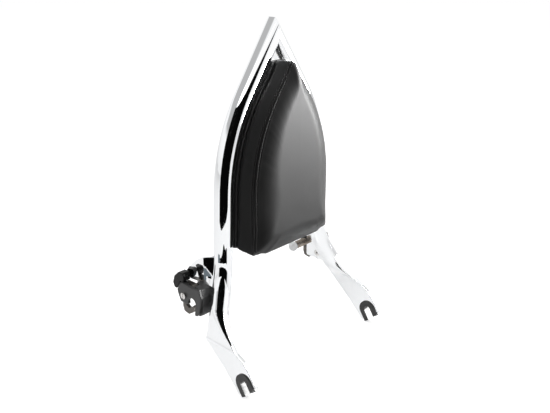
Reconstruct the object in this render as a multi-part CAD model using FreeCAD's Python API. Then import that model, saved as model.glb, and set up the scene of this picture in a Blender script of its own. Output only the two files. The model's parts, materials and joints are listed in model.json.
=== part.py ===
# Detachable motorcycle backrest: a chromed one-piece tube upright with a pointed arch, two slotted
# blades that hook onto front docking studs, two latched ears for the rear docking studs, and a pad.
#
# Frame, in millimetres: the origin is midway between the centres of the two blade slots. +Z is up,
# -Y is forwards (the pad faces forwards) and +X is the motorcycle's left. Everything is built once
# for the left side and mirrored in the plane X = 0.

import FreeCAD
import Part
import math
import os

# Upright tube and its arch
TUBE_OD = 25.4
ARCH_Y = 76.0             # plane of the arch
ARCH_APEX_Z = 412.0       # where the two arms' centrelines meet
ARM_LEAN = 34.7           # degrees from upright, the arms above the shoulder
LEG_LEAN = 2.5            # degrees from upright, the legs below the shoulder
SHOULDER_X = 86.5         # half width of the arch where leg and arm lines cross
SHOULDER_R = 225.0
TIP_ROUND = 4.0           # the mitred tip is ground to this radius
KNEE_Z = 112.0            # where a leg turns outwards and forwards
KNEE_R = 90.0
FLATTEN_Z = 72.0          # the tube is still round above this height
FLATTEN_SET_BACK = 6.0    # its rear there, behind the rear end of the bend line

# Flattened blades
BLADE_X = 130.0           # middle plane of a blade
BLADE_T = 6.4
BEND_Z = 36.0             # level bend line between the flattened leg and the blade
BEND_REAR_Y = 70.4
BEND_FRONT_Y = 14.4
BLADE_EDGE_R = 1.2
BLADE_TIP_R = 3.0
FLATTEN_STEPS = 3
FRONT_EDGE_SWEEP = 0.65   # how much of the front edge's spread comes late, near the bend line
JOIN_STEP = 0.1           # the flattened length is this much under the tube and over the blade

# Open slot of a blade; u runs out of the slot's mouth, v across it towards the rear
SLOT_TILT = 56.3          # degrees below level that the mouth points, forwards and down
STUD_R = 5.5              # the front docking stud's groove
LINER_WEB = 3.0
LINER_FIT = 0.1
LINER_FLANGE_R = 13.8
LINER_FLANGE_T = 1.4
LINER_PAST_PRONG = 3.6
LINER_TOE = 6.8           # the toe under the front prong, measured out from the web
REAR_PRONG = 12.0         # blade past the slot's centre, along u
FRONT_PRONG = 9.0
REAR_PRONG_V = 19.8
FRONT_PRONG_V = -18.8
REAR_WAIST = (-25.0, 7.0)                       # u, and v past the prong's edge
FRONT_WAIST = [(-12.0, 1.0), (-24.0, 3.4)]

# Rear docking stud; the ear and the whole latch are placed from its centre
REAR_STUD_R = 7.1
REAR_STUD_Y = 97.3
REAR_STUD_Z = 76.8

# Welded ears, outlines as (y, z) from the rear stud
EAR_SET_IN = 5.0          # inner face of the ear's floor, inside the leg's middle where it flattens
EAR_ON_TUBE = 5.0         # and outside the leg's middle above the knee
EAR_T = 5.0
EAR_CORNER_R = 3.0
EAR_REAR = 8.1
EAR_BOTTOM = -12.8
EAR_STEP = 23.4           # top of the floor's rear edge, under the lobe
EAR_TOP = (-13.3, 62.5)
EAR_TOP_BULGE = (0.7, 58.7)
EAR_BEND = -5.3           # the floor leans in to the leg in front of this line
EAR_WAIST = 19.2          # and above this height
CREASE_FOOT = (2.9, 24.4)
CREASE_HEAD = (12.0, 51.2)
LOBE_TIP = [(24.2, 26.0), (26.7, 29.2)]
LOBE_BULGE = (20.4, 41.2)
LOBE_LEAN = 14.0          # degrees that the lobe is bent outwards at its crease

# Latch layers outwards from the ear
BODY_FLOOR_T = 5.0
POCKET_DEPTH = 9.0
COVER_T = 4.0
COVER_EDGE = 0.8
BODY_FRONT = [(-17.3, -12.3), (-18.3, 13.2), (-16.3, 23.8)]
BODY_TOE = [(-5.3, -16.3), (-11.3, -16.3)]
BODY_TOP_REAR = [(3.7, 23.8), (8.7, 20.7)]
BLOCK_REAR = [(-2.8, 23.8), (-2.8, 10.7), (-6.3, 7.2), (-6.3, -16.3), (-11.3, -16.3)]
COVER_FRONT = [(-13.8, -10.2), (-18.3, 12.7), (-15.3, 24.2), (-3.3, 22.6)]
COVER_TOP_REAR = (20.5, 24.2)
COVER_REAR = (28.9, 11.4)
COVER_LOBE = [(27.3, 5.2), (22.1, -4.8), (7.1, -4.8), (0.7, -16.3), (-8.8, -16.3)]
COVER_CORNER_R = 1.6
MOUTH_DEPTH = 20.8        # the stud notch is cut out to this far under the stud
MOUTH_FRONT = -3.6
MOUTH_REAR = 24.0

# Hook on its pin, with the torsion spring beside its hub
PIVOT = (4.7, 17.7)
PIN_R = 2.5
PIN_FIT = 0.05
PIN_SEAT = 3.0            # depth of the pin's blind holes
PIN_END_GAP = 0.1
HOOK_HUB_R = 6.0
HOOK_GAP = 0.35           # side clearance of the hook in its pocket
HOOK_BLADE_T = 5.0
HOOK_ARM = [(4.7, 23.7), (19.1, 23.7), (21.3, 20.2), (21.3, 13.2), (5.7, 11.8)]
HOOK_STEM_TOP = 14.2
HOOK_STEM_GAP = 0.6       # stem behind the shaft's bush
HOOK_STEM_REAR = 24.7
HOOK_FOOT = [(14.7, -13.8), (7.9, -12.8), (4.3, -7.4), (2.9, -8.2), (5.3, -17.8), (13.7, -23.2),
             (22.7, -21.4), (25.1, -14.8)]
HOOK_STUD_GAP = 0.3
TONGUE = [(18.7, 20.8), (18.7, 13.8), (29.7, 17.8), (27.2, 24.7)]
TONGUE_FIT = 0.1
HOOK_SPRING_WIRE = 0.6
HOOK_SPRING_R = 3.9
HOOK_SPRING_TURNS = 2
HOOK_SPRING_PITCH = 1.3
HOOK_SPRING_GAP = 0.2
HOOK_SPRING_LEG = 6.6
HOOK_SPRING_ROOM = 0.7    # free space round the coil

# Thumb pad on the hook's tongue
THUMB_SET_OUT = 1.2       # its inner face, outside the pocket's floor
THUMB_GAP = 1.3           # to the cover's sloped rear edge
THUMB_OUTLINE = [(34.1, 12.4), (36.9, 19.2), (33.7, 29.2), (25.7, 36.8), (16.3, 37.4), (14.1, 33.2)]
THUMB_ROUND = 2.6
THUMB_EDGE = 1.0

# Release shaft, spring and knob
SHAFT = (15.1, 6.2)
SHAFT_R = 3.0
SHAFT_FIT = 0.05
SHAFT_HEAD_R = 4.4
SHAFT_HEAD_T = 2.2
SHAFT_SLOT_W = 1.4
SHAFT_SLOT_DEPTH = 1.3
SHAFT_IN_KNOB = 5.0
BUSH_WALL = 1.5
BOSS_R = 9.5
SPRING_WIRE = 0.8
SPRING_R = 5.0            # to the middle of the wire
SPRING_TURNS = 7
SPRING_GAP = 0.1
WIRE_SIDES = 6
KNOB_R = 7.2
KNOB_LENGTH = 9.0
KNOB_DOME = 4.0
KNOB_SHOULDER = 2.5
KNOB_FACE_R = 6.2
KNOB_REACH = 34.0         # the knob's free end, inside the latch body's inner face

# Latch screws, countersunk in the ear and screwed into the cover
LATCH_SCREW_R = 2.5
LATCH_SCREW_HEAD_R = 5.0
LATCH_SCREW_FIT = 0.1
LATCH_SCREW_IN_COVER = 2.5
LATCH_SCREW_SOCKET_R = 1.5
LATCH_SCREW_SOCKET = 1.8
LATCH_SCREWS = [(-9.3, 17.2), (-12.3, -3.8)]

# Pad and the board that it is upholstered on
PAD_SET_FORWARD = 11.5    # the pad's flat back, in front of the arch's plane
PAD_OVERLAP = 1.2         # the cushion's back edge laps the tube by this much
BOARD_OVERLAP = 0.6
PAD_SEAM_DEPTH = 23.5     # from the back to the front edge seam
PAD_SEAM_TAPER = 3.0
PAD_CROWN_DEPTH = 36.5
PAD_END_CROWN = 2.0
PAD_SIDE_SLANT = 8.5
PAD_SLANT_TAPER = 0.35    # share of the slant that is lost towards the top
PAD_TOP_HALF_WIDTH = 2.5
PAD_BOTTOM_Z = 139.8      # front bottom edge
PAD_BOTTOM_RISE = 9.4     # back bottom edge is higher by this much
PAD_TOP_DROP = 31.0       # the pad's top, under the arms' crossing
PAD_SECTIONS = 8
BOARD_T = 4.0
BOARD_TOP_DROP = 3.0
OUTLINE_STEPS = 8
BRACKET_T = 3.0
BRACKET_HEIGHT = 24.0
BRACKET_LOWER_RISE = 50.0     # bracket's middle over the pad's bottom edge
BRACKET_UPPER_DROP = 59.0     # and under the pad's top
BOLT_R = 3.0
BOLT_FIT = 0.3
BOLT_HEAD_R = 5.8
BOLT_HEAD_H = 4.0
BOLT_INSET = 25.0         # from the tube's inner side
WASHER_R = 8.0
WASHER_T = 1.2
WASHER_FIT = 0.2

X_AXIS = FreeCAD.Vector(1, 0, 0)
Y_AXIS = FreeCAD.Vector(0, 1, 0)
TUBE_R = TUBE_OD / 2.0
ARM = math.radians(ARM_LEAN)
LEG = math.radians(LEG_LEAN)
PAST = 1.0                # how far a cutting tool runs past a face


def vec(x, y, z):
    return FreeCAD.Vector(x, y, z)


def polygon(points):
    return Part.makePolygon(points + [points[0]])


def line(start, end):
    return Part.LineSegment(start, end).toShape()


def arc(start, through, end):
    return Part.Arc(start, through, end).toShape()


def prism(outline, x_low, x_high):
    """Solid between two planes of X from a closed list of (y, z) points."""
    wire = polygon([vec(x_low, y, z) for y, z in outline])
    return Part.Face(wire).extrude(vec(x_high - x_low, 0, 0))


def rod(radius, x_low, x_high, centre):
    """Cylinder along X at a (y, z) centre."""
    return Part.makeCylinder(radius, x_high - x_low, vec(x_low, *centre), X_AXIS)


def rod_y(radius, x, y_low, y_high, z):
    """Cylinder along Y."""
    return Part.makeCylinder(radius, y_high - y_low, vec(x, y_low, z), Y_AXIS)


def box(low, high):
    return Part.makeBox(high[0] - low[0], high[1] - low[1], high[2] - low[2], vec(*low))


def rounded(solid, radius, wanted):
    """Fillet the edges that the test picks."""
    edges = [edge for edge in solid.Edges if wanted(edge)]
    return solid.makeFillet(radius, edges)


def along_x(edge):
    """True for a straight edge parallel to X."""
    if not isinstance(edge.Curve, Part.Line):
        return False
    return abs(abs(edge.tangentAt(edge.FirstParameter).x) - 1.0) < 1e-6


def on_plane_x(edge, x):
    """True for an edge that lies in a plane of X."""
    return abs(edge.BoundBox.XMin - x) < 1e-6 and abs(edge.BoundBox.XMax - x) < 1e-6


def mirrored(shape):
    return shape.mirror(vec(0, 0, 0), X_AXIS)


def save(shape, node):
    shape.exportStep("parts/" + node + ".step")
    print(node, len(shape.Solids), round(shape.Volume / 1000.0, 2), "cm3", shape.isValid())


def save_pair(shape, node):
    save(shape, node + "_left")
    save(mirrored(shape), node + "_right")


def rounded_path(points, radii):
    """Straight runs through the points, joined by tangent arcs of the given radii."""
    edges = []
    start = points[0]
    for corner, after, radius in zip(points[1:-1], points[2:], radii):
        back = (start - corner).normalize()
        on = (after - corner).normalize()
        half = back.getAngle(on) / 2.0
        reach = radius / math.tan(half)
        first = corner + back * reach
        last = corner + on * reach
        inwards = (back + on).normalize()
        middle = corner + inwards * (radius / math.sin(half) - radius)
        edges.append(line(start, first))
        edges.append(arc(first, middle, last))
        start = last
    edges.append(line(start, points[-1]))
    return Part.Wire(edges)


# The arch's outline in its own plane, from the straight lines of leg and arm and the arc between
SHOULDER_Z = ARCH_APEX_Z - SHOULDER_X / math.tan(ARM)
SHOULDER_REACH = SHOULDER_R * math.tan((ARM - LEG) / 2.0)
ARC_LOW_Z = SHOULDER_Z - SHOULDER_REACH * math.cos(LEG)
ARC_HIGH_Z = SHOULDER_Z + SHOULDER_REACH * math.cos(ARM)
ARC_LOW_X = SHOULDER_X + SHOULDER_REACH * math.sin(LEG)
ARC_CENTRE_X = ARC_LOW_X - SHOULDER_R * math.cos(LEG)
ARC_CENTRE_Z = ARC_LOW_Z - SHOULDER_R * math.sin(LEG)


def leg_x(z):
    """Middle of the straight leg at a height."""
    return SHOULDER_X + (SHOULDER_Z - z) * math.tan(LEG)


def arch_half_width(z, inside):
    """Half width of the arch at a height, measured to a line that lies inside the centreline."""
    if z < ARC_LOW_Z + inside * math.sin(LEG):
        return leg_x(z) - inside / math.cos(LEG)
    if z > ARC_HIGH_Z - inside * math.sin(ARM):
        return (ARCH_APEX_Z - z) * math.tan(ARM) - inside / math.cos(ARM)
    radius = SHOULDER_R - inside
    rise = z - ARC_CENTRE_Z
    return ARC_CENTRE_X + math.sqrt(radius * radius - rise * rise)


# Leg from the knee down: it leans outwards and forwards to the middle of the bend line
KNEE_X = leg_x(KNEE_Z)
FLATTEN_SHARE = (KNEE_Z - FLATTEN_Z) / (KNEE_Z - BEND_Z)
FLATTEN_X = KNEE_X + (BLADE_X - KNEE_X) * FLATTEN_SHARE
FLATTEN_Y = BEND_REAR_Y + FLATTEN_SET_BACK - TUBE_R

# Layers of the ear and the latch, outwards
EAR_X = FLATTEN_X - EAR_SET_IN
BODY_X = EAR_X + EAR_T
POCKET_X = BODY_X + BODY_FLOOR_T
COVER_X = POCKET_X + POCKET_DEPTH
LATCH_OUTER_X = COVER_X + COVER_T


def from_stud(point):
    """(y, z) of a point given from the rear stud's centre."""
    return (REAR_STUD_Y + point[0], REAR_STUD_Z + point[1])


def outline_from_stud(points):
    return [from_stud(point) for point in points]


def blend(first, last, share):
    return first + (last - first) * share


def flat_section(share):
    """Cross-section of the leg as it flattens: the round tube at share 0, the blade's bar at share 1."""
    ease = share * share * (3.0 - 2.0 * share)
    spread = share * (1.0 - FRONT_EDGE_SWEEP + FRONT_EDGE_SWEEP * share)
    round_r = TUBE_R - JOIN_STEP
    rear = blend(FLATTEN_Y + round_r, BEND_REAR_Y + JOIN_STEP, share)
    front = blend(FLATTEN_Y - round_r, BEND_FRONT_Y - JOIN_STEP, spread)
    centre = vec(blend(FLATTEN_X, BLADE_X, share), (rear + front) / 2.0, blend(FLATTEN_Z, BEND_Z, share))
    wide = (rear - front) / 2.0
    thick = blend(round_r, BLADE_T / 2.0 + JOIN_STEP, ease)
    corner = min(thick - JOIN_STEP, blend(TUBE_R, BLADE_EDGE_R, ease))
    down = vec(FLATTEN_X - KNEE_X, FLATTEN_Y - ARCH_Y, FLATTEN_Z - KNEE_Z).normalize()
    down = blend(down, vec(0, 0, -1), ease).normalize()
    outwards = (X_AXIS - down * X_AXIS.dot(down)).normalize()
    rearwards = outwards.cross(down)
    cut = corner * (1.0 - math.sqrt(0.5))

    def place(x, y):
        return centre + outwards * x + rearwards * y

    edges = []
    for side_x, side_y in ((1, -1), (1, 1), (-1, 1), (-1, -1)):
        ends = [place(side_x * (thick - corner), side_y * wide), place(side_x * thick, side_y * (wide - corner))]
        if side_x * side_y > 0:
            ends.reverse()
        if edges:
            edges.append(line(last, ends[0]))
        else:
            first = ends[0]
        edges.append(arc(ends[0], place(side_x * (thick - cut), side_y * (wide - cut)), ends[1]))
        last = ends[1]
    edges.append(line(last, first))
    return Part.Wire(edges)


# Slot directions in the blade's plane
MOUTH = math.radians(SLOT_TILT)
SLOT_U = (-math.cos(MOUTH), -math.sin(MOUTH))
SLOT_V = (math.sin(MOUTH), -math.cos(MOUTH))
SLOT_REACH = 40.0
BLADE_LOW_X = BLADE_X - BLADE_T / 2.0
BLADE_HIGH_X = BLADE_X + BLADE_T / 2.0
LINER_R = STUD_R + LINER_WEB


def at_slot(u, v):
    """(y, z) of a point given along and across the slot."""
    return (SLOT_U[0] * u + SLOT_V[0] * v, SLOT_U[1] * u + SLOT_V[1] * v)


def slot_coordinates(y, z):
    return (SLOT_U[0] * y + SLOT_U[1] * z, SLOT_V[0] * y + SLOT_V[1] * z)


def slot_prism(points, x_low, x_high):
    """Prism from points given along and across the slot."""
    return prism([at_slot(u, v) for u, v in points], x_low, x_high)


def open_slot(radius, reach, x_low, x_high):
    """A round slot bottom with parallel walls, out to a reach along u."""
    bar = slot_prism([(0, -radius), (reach, -radius), (reach, radius), (0, radius)], x_low, x_high)
    return bar.fuse(rod(radius, x_low, x_high, (0, 0))).removeSplitter()


def blade():
    """Flat bar below the bend line, narrowed to two prongs round the open slot."""
    outline = [slot_coordinates(BEND_REAR_Y, BEND_Z), (REAR_WAIST[0], REAR_PRONG_V + REAR_WAIST[1]),
               (REAR_PRONG, REAR_PRONG_V), (REAR_PRONG, 0), (FRONT_PRONG, 0), (FRONT_PRONG, FRONT_PRONG_V)]
    outline += [(u, FRONT_PRONG_V + v) for u, v in FRONT_WAIST]
    outline.append(slot_coordinates(BEND_FRONT_Y, BEND_Z))
    plate = slot_prism(outline, BLADE_LOW_X, BLADE_HIGH_X)
    slot = open_slot(LINER_R + LINER_FIT, SLOT_REACH, BLADE_LOW_X - PAST, BLADE_HIGH_X + PAST)
    plate = plate.cut(slot)

    def tip_corner(edge):
        u, v = slot_coordinates(edge.CenterOfMass.y, edge.CenterOfMass.z)
        return along_x(edge) and u > FRONT_PRONG - PAST and abs(v) > LINER_R + PAST

    plate = rounded(plate, BLADE_TIP_R, tip_corner)

    def rim_edge(edge):
        on_face = on_plane_x(edge, BLADE_LOW_X) or on_plane_x(edge, BLADE_HIGH_X)
        return on_face and edge.CenterOfMass.z < BEND_Z - 0.01

    return rounded(plate, BLADE_EDGE_R, rim_edge)


def half_upright():
    """One leg and arm, run a little past the mitre plane X = 0 and cut there."""
    overrun = TUBE_OD
    apex = vec(-overrun, ARCH_Y, ARCH_APEX_Z + overrun / math.tan(ARM))
    shoulder = vec(SHOULDER_X, ARCH_Y, SHOULDER_Z)
    knee = vec(KNEE_X, ARCH_Y, KNEE_Z)
    foot = vec(FLATTEN_X, FLATTEN_Y, FLATTEN_Z)
    path = rounded_path([apex, shoulder, knee, foot], [SHOULDER_R, KNEE_R])
    ring = Part.Wire([Part.makeCircle(TUBE_R, apex, shoulder - apex)])
    tube = path.makePipeShell([ring], True, False)
    tube = tube.cut(box((-8 * overrun, 0, 0), (0, 2 * ARCH_Y, 2 * ARCH_APEX_Z)))
    flattened = Part.makeLoft([flat_section(i / FLATTEN_STEPS) for i in range(FLATTEN_STEPS + 1)], True)
    return tube.multiFuse([flattened, blade()])


def tip_shaver():
    """What grinding the mitred tip round takes away."""
    tip_z = ARCH_APEX_Z + TUBE_R / math.sin(ARM)
    centre_z = tip_z - TIP_ROUND / math.sin(ARM)
    low_z = centre_z + TIP_ROUND * math.sin(ARM)
    half = TIP_ROUND * math.cos(ARM)
    block = box((-half, ARCH_Y - TUBE_OD, low_z), (half, ARCH_Y + TUBE_OD, tip_z + TIP_ROUND))
    drum = Part.makeCylinder(TIP_ROUND, 2 * TUBE_OD, vec(0, ARCH_Y - TUBE_OD, centre_z), Y_AXIS)
    return block.cut(drum)


def upright():
    half = half_upright()
    return half.fuse(mirrored(half)).cut(tip_shaver())


def slot_liner():
    """U-shaped bush with a flange on each face of the blade and a toe under the front prong."""
    low = BLADE_LOW_X - LINER_FLANGE_T
    high = BLADE_HIGH_X + LINER_FLANGE_T
    rear = REAR_PRONG + LINER_PAST_PRONG
    front = FRONT_PRONG + LINER_PAST_PRONG
    seat = FRONT_PRONG + LINER_FIT
    toe_v = -LINER_R - LINER_TOE
    inner = open_slot(LINER_FLANGE_R, rear, low, BLADE_LOW_X)
    outer = open_slot(LINER_FLANGE_R, rear, BLADE_HIGH_X, high)
    web = open_slot(LINER_R, rear, BLADE_LOW_X, BLADE_HIGH_X)
    toe = slot_prism([(seat, -STUD_R), (front, -STUD_R), (front, toe_v), (seat, toe_v)], BLADE_LOW_X, BLADE_HIGH_X)
    liner = web.multiFuse([inner, outer, toe])
    liner = liner.cut(open_slot(STUD_R, SLOT_REACH, low - PAST, high + PAST))
    shorter = slot_prism([(front, 0), (rear + PAST, 0), (rear + PAST, 2 * toe_v), (front, 2 * toe_v)],
                         low - PAST, high + PAST)
    return liner.cut(shorter).removeSplitter()


def ear_section(z, lean):
    """Level section of the ear's plate, whose front leans in to the leg."""
    bend = REAR_STUD_Y + EAR_BEND
    far = bend + TUBE_OD
    near = ARCH_Y - TUBE_OD
    inner = [(EAR_X, far), (EAR_X, bend), (EAR_X - lean, ARCH_Y), (EAR_X - lean, near)]
    outer = [(x + EAR_T, y) for x, y in reversed(inner)]
    return polygon([vec(x, y, z) for x, y in inner + outer])


def on_lobe(point):
    """Place on the lobe's inner face, bent outwards about the crease."""
    run = (CREASE_HEAD[0] - CREASE_FOOT[0], CREASE_HEAD[1] - CREASE_FOOT[1])
    length = math.hypot(*run)
    behind = ((point[0] - CREASE_FOOT[0]) * run[1] - (point[1] - CREASE_FOOT[1]) * run[0]) / length
    return vec(EAR_X + behind * math.tan(math.radians(LOBE_LEAN)), *from_stud(point))


def ear_lobe():
    foot, heel, tip, bulge, head = [on_lobe(p) for p in [CREASE_FOOT] + LOBE_TIP + [LOBE_BULGE, CREASE_HEAD]]
    wire = Part.Wire([line(foot, heel), line(heel, tip), arc(tip, bulge, head), line(head, foot)])
    return Part.Face(wire).extrude(vec(EAR_T, 0, 0))


def ear_floor_outline(x):
    """The floor as seen from the side, from its rear edge forwards to the leg's middle."""
    rear, bottom = from_stud((EAR_REAR, EAR_BOTTOM))
    cut = EAR_CORNER_R * (1.0 - math.sqrt(0.5))
    top_y, top_z = from_stud(EAR_TOP)
    corner_low = vec(x, rear - EAR_CORNER_R, bottom)
    corner_high = vec(x, rear, bottom + EAR_CORNER_R)
    step = vec(x, *from_stud((EAR_REAR, EAR_STEP)))
    foot = vec(x, *from_stud(CREASE_FOOT))
    head = vec(x, *from_stud(CREASE_HEAD))
    top = vec(x, top_y, top_z)
    leg = [vec(x, ARCH_Y, top_z), vec(x, ARCH_Y, KNEE_Z), vec(x, FLATTEN_Y, FLATTEN_Z), vec(x, FLATTEN_Y, bottom)]
    edges = [arc(corner_low, vec(x, rear - cut, bottom + cut), corner_high), line(corner_high, step),
             line(step, foot), line(foot, head), arc(head, vec(x, *from_stud(EAR_TOP_BULGE)), top)]
    corners = [top] + leg + [corner_low]
    edges += [line(a, b) for a, b in zip(corners[:-1], corners[1:])]
    return Part.Face(Part.Wire(edges))


def ear(frame):
    """Plate welded behind the leg, with a lobe bent outwards at its rear top corner."""
    bottom = REAR_STUD_Z + EAR_BOTTOM - PAST
    waist = REAR_STUD_Z + EAR_WAIST
    top = REAR_STUD_Z + EAR_TOP[1] + PAST
    levels = [(bottom, 0.0), (waist, 0.0)]
    levels += [(z, EAR_X - leg_x(z) - EAR_ON_TUBE) for z in (KNEE_Z, top)]
    slab = Part.makeLoft([ear_section(z, lean) for z, lean in levels], True, True)
    floor = slab.common(ear_floor_outline(EAR_X - TUBE_OD).extrude(vec(2 * TUBE_OD, 0, 0)))
    plate = floor.fuse(ear_lobe())
    for screw in outline_from_stud(LATCH_SCREWS):
        plate = plate.cut(rod(LATCH_SCREW_R + LATCH_SCREW_FIT, EAR_X - PAST, BODY_X + PAST, screw))
        plate = plate.cut(screw_cone(screw, LATCH_SCREW_FIT))
    return plate.cut(frame).removeSplitter()


def screw_cone(centre, extra):
    """Countersunk head, opening on the ear's inner face."""
    depth = LATCH_SCREW_HEAD_R - LATCH_SCREW_R
    return Part.makeCone(LATCH_SCREW_HEAD_R + extra, LATCH_SCREW_R + extra, depth, vec(EAR_X, *centre), X_AXIS)


def stud_opening(x_low, x_high):
    """Round notch for the rear stud, open downwards through a flared mouth."""
    side = REAR_STUD_R * math.cos(math.radians(20.0))
    drop = -REAR_STUD_R * math.sin(math.radians(20.0))
    mouth = [(-side, drop), (MOUTH_FRONT, -MOUTH_DEPTH), (MOUTH_REAR, -MOUTH_DEPTH), (side, drop)]
    flare = prism(outline_from_stud(mouth), x_low, x_high)
    return rod(REAR_STUD_R, x_low, x_high, from_stud((0.0, 0.0))).fuse(flare)


def latch_body():
    """Casting against the ear: a floor with a boss for the shaft, and a raised front block."""
    shaft = from_stud(SHAFT)
    share = math.sqrt(0.5)
    boss_edge = [(SHAFT[0] + BOSS_R * share, SHAFT[1] + BOSS_R * share), (SHAFT[0], SHAFT[1] - BOSS_R),
                 (REAR_STUD_R, SHAFT[1] - BOSS_R)]
    floor = prism(outline_from_stud(BODY_FRONT + BODY_TOP_REAR + boss_edge + BODY_TOE), BODY_X, POCKET_X)
    floor = floor.fuse(rod(BOSS_R, BODY_X, POCKET_X, shaft))
    block = prism(outline_from_stud(BODY_FRONT + BLOCK_REAR), POCKET_X, COVER_X)
    body = floor.fuse(block)
    body = body.cut(stud_opening(BODY_X - PAST, COVER_X + PAST))
    body = body.cut(rod(SHAFT_R + SHAFT_FIT, BODY_X - PAST, POCKET_X + PAST, shaft))
    body = body.cut(rod(PIN_R + PIN_FIT, POCKET_X - PIN_SEAT, POCKET_X + PAST, from_stud(PIVOT)))
    for screw in outline_from_stud(LATCH_SCREWS):
        body = body.cut(rod(LATCH_SCREW_R, BODY_X - PAST, COVER_X + PAST, screw))
    return body.removeSplitter()


def latch_cover():
    """Outer plate, with the same notch and a lobe behind it for the shaft's slotted end."""
    plate = prism(outline_from_stud(COVER_FRONT + [COVER_TOP_REAR, COVER_REAR] + COVER_LOBE),
                  COVER_X, LATCH_OUTER_X)
    plate = plate.cut(stud_opening(COVER_X - PAST, LATCH_OUTER_X + PAST))
    lobe_z = REAR_STUD_Z
    plate = rounded(plate, COVER_CORNER_R, lambda edge: along_x(edge) and edge.CenterOfMass.z < lobe_z)
    plate = plate.cut(rod(SHAFT_R + SHAFT_FIT, COVER_X - PAST, LATCH_OUTER_X + PAST, from_stud(SHAFT)))
    plate = plate.cut(rod(PIN_R + PIN_FIT, COVER_X - PAST, COVER_X + PIN_SEAT, from_stud(PIVOT)))
    for screw in outline_from_stud(LATCH_SCREWS):
        plate = plate.cut(rod(LATCH_SCREW_R, COVER_X - PAST, COVER_X + LATCH_SCREW_IN_COVER, screw))
    outer = [edge for edge in plate.Edges if on_plane_x(edge, LATCH_OUTER_X)
             and abs(edge.Length - 2 * math.pi * (SHAFT_R + SHAFT_FIT)) > 0.1]
    return plate.makeChamfer(COVER_EDGE, outer)


HOOK_LOW_X = POCKET_X + HOOK_GAP
HOOK_HIGH_X = COVER_X - HOOK_GAP
HOOK_BLADE_X = (HOOK_LOW_X + HOOK_HIGH_X - HOOK_BLADE_T) / 2.0
BUSH_R = SHAFT_R + SHAFT_FIT + BUSH_WALL
HOOK_SPRING_WIDTH = HOOK_SPRING_PITCH * HOOK_SPRING_TURNS + 2 * HOOK_SPRING_WIRE
HOOK_SPRING_X = COVER_X - HOOK_SPRING_GAP - HOOK_SPRING_WIDTH
HOOK_HUB_X = HOOK_SPRING_X - HOOK_SPRING_GAP


def latch_hook():
    """Hub and arm at full pocket width, with a thinner stem and a hooked foot under the stud."""
    pivot = from_stud(PIVOT)
    hub = rod(HOOK_HUB_R, HOOK_LOW_X, HOOK_HIGH_X, pivot)
    arm = prism(outline_from_stud(HOOK_ARM), HOOK_LOW_X, HOOK_HIGH_X)
    tongue = prism(outline_from_stud(TONGUE), HOOK_BLADE_X, HOOK_BLADE_X + HOOK_BLADE_T)
    stem_front = SHAFT[0] + BUSH_R + HOOK_STEM_GAP
    stem = [(stem_front, HOOK_STEM_TOP), (stem_front, HOOK_FOOT[0][1] + BUSH_R)] + HOOK_FOOT
    stem.append((HOOK_STEM_REAR, HOOK_STEM_TOP))
    foot = prism(outline_from_stud(stem), HOOK_BLADE_X, HOOK_BLADE_X + HOOK_BLADE_T)
    foot = foot.cut(rod(REAR_STUD_R + HOOK_STUD_GAP, HOOK_BLADE_X - PAST, HOOK_HIGH_X + PAST,
                        from_stud((0.0, 0.0))))
    hook = hub.multiFuse([arm, tongue, foot])
    hook = hook.cut(rod(PIN_R + PIN_FIT, HOOK_LOW_X - PAST, HOOK_HIGH_X + PAST, pivot))
    room = HOOK_SPRING_R + HOOK_SPRING_WIRE + HOOK_SPRING_ROOM
    hook = hook.cut(rod(room, HOOK_HUB_X, HOOK_HIGH_X + PAST, pivot))
    y, z = pivot
    wire_z = z - HOOK_SPRING_R
    half = HOOK_SPRING_WIRE + HOOK_SPRING_GAP
    reach = HOOK_SPRING_LEG + half
    groove = box((HOOK_HUB_X, y - reach, wire_z - half), (HOOK_HIGH_X + PAST, y + reach, wire_z + half))
    return hook.cut(groove).removeSplitter()


def coil(radius, wire_r, pitch, turns, start_x, centre):
    """Wire wound about an axis along X; it starts and ends straight below the axis."""
    helix = Part.makeHelix(pitch, pitch * turns, radius)
    corners = []
    for i in range(WIRE_SIDES):
        angle = 2.0 * math.pi * i / WIRE_SIDES
        corners.append(vec(radius + wire_r * math.cos(angle), 0, wire_r * math.sin(angle)))
    wound = helix.makePipeShell([Part.Wire(polygon(corners).Edges)], True, True)
    wound.rotate(vec(0, 0, 0), Y_AXIS, 90)
    wound.translate(vec(start_x, *centre))
    return wound


def hook_spring():
    """Torsion spring round the pin; one leg lies in the hook's groove, one points at the block."""
    y, z = from_stud(PIVOT)
    start = HOOK_SPRING_X + HOOK_SPRING_WIRE
    end = start + HOOK_SPRING_PITCH * HOOK_SPRING_TURNS
    wound = coil(HOOK_SPRING_R, HOOK_SPRING_WIRE, HOOK_SPRING_PITCH, HOOK_SPRING_TURNS, start, (y, z))
    wire_z = z - HOOK_SPRING_R
    front_leg = rod_y(HOOK_SPRING_WIRE, start, y - HOOK_SPRING_LEG, y, wire_z)
    rear_leg = rod_y(HOOK_SPRING_WIRE, end, y, y + HOOK_SPRING_LEG, wire_z)
    return wound.multiFuse([front_leg, rear_leg])


def hook_pin():
    return rod(PIN_R, POCKET_X - PIN_SEAT + PIN_END_GAP, COVER_X + PIN_SEAT - PIN_END_GAP, from_stud(PIVOT))


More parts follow.
